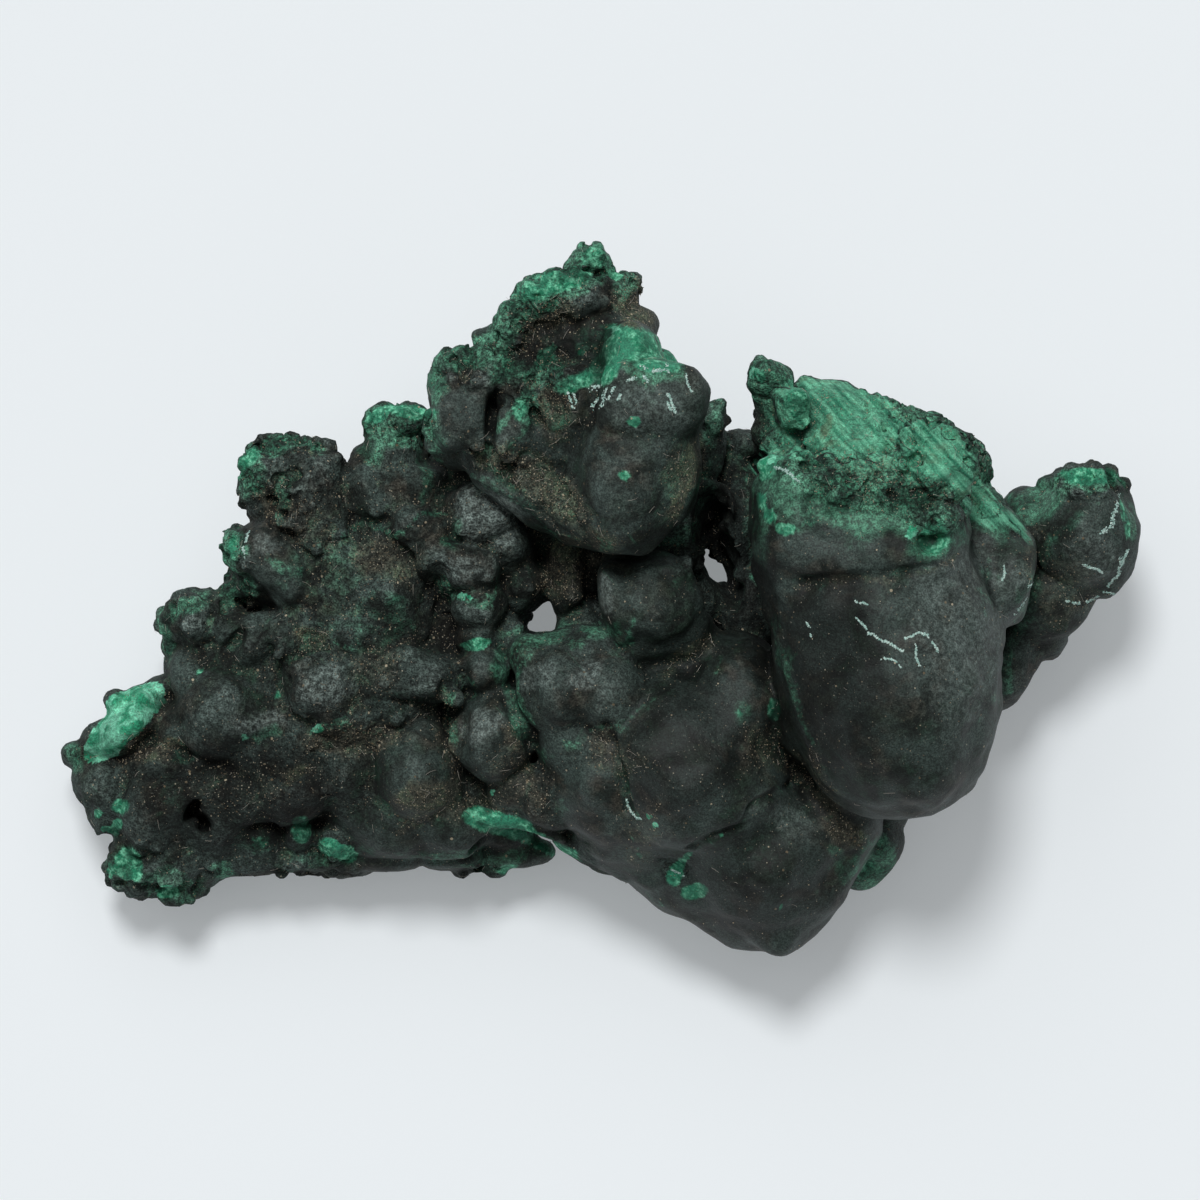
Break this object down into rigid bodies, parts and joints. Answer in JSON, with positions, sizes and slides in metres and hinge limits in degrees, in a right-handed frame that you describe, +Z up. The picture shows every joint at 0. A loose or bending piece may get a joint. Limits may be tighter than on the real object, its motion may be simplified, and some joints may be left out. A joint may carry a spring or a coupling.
{
  "type": "malachite specimen",
  "caption": "Knobbly botryoidal malachite specimen, one dark green-black stone with smooth lobes, crusty knobs and bright green broken faces, lying on its flat broken underside",
  "frame": {"origin": "middle of the bounding box, on the surface that the specimen rests on", "axes": "+X along the specimen's longest extent towards the end with the lone rounded arm, +Y across it towards the tall pointed lobe, +Z up out of the surface"},
  "size_m": [0.108, 0.0702, 0.0447],
  "materials": {
    "malachite": "matte dark green-black stone with bright green patches and satin lobes"
  },
  "bodies": {
    "root": {"malachite_specimen": "malachite"}
  },
  "joints": []
}
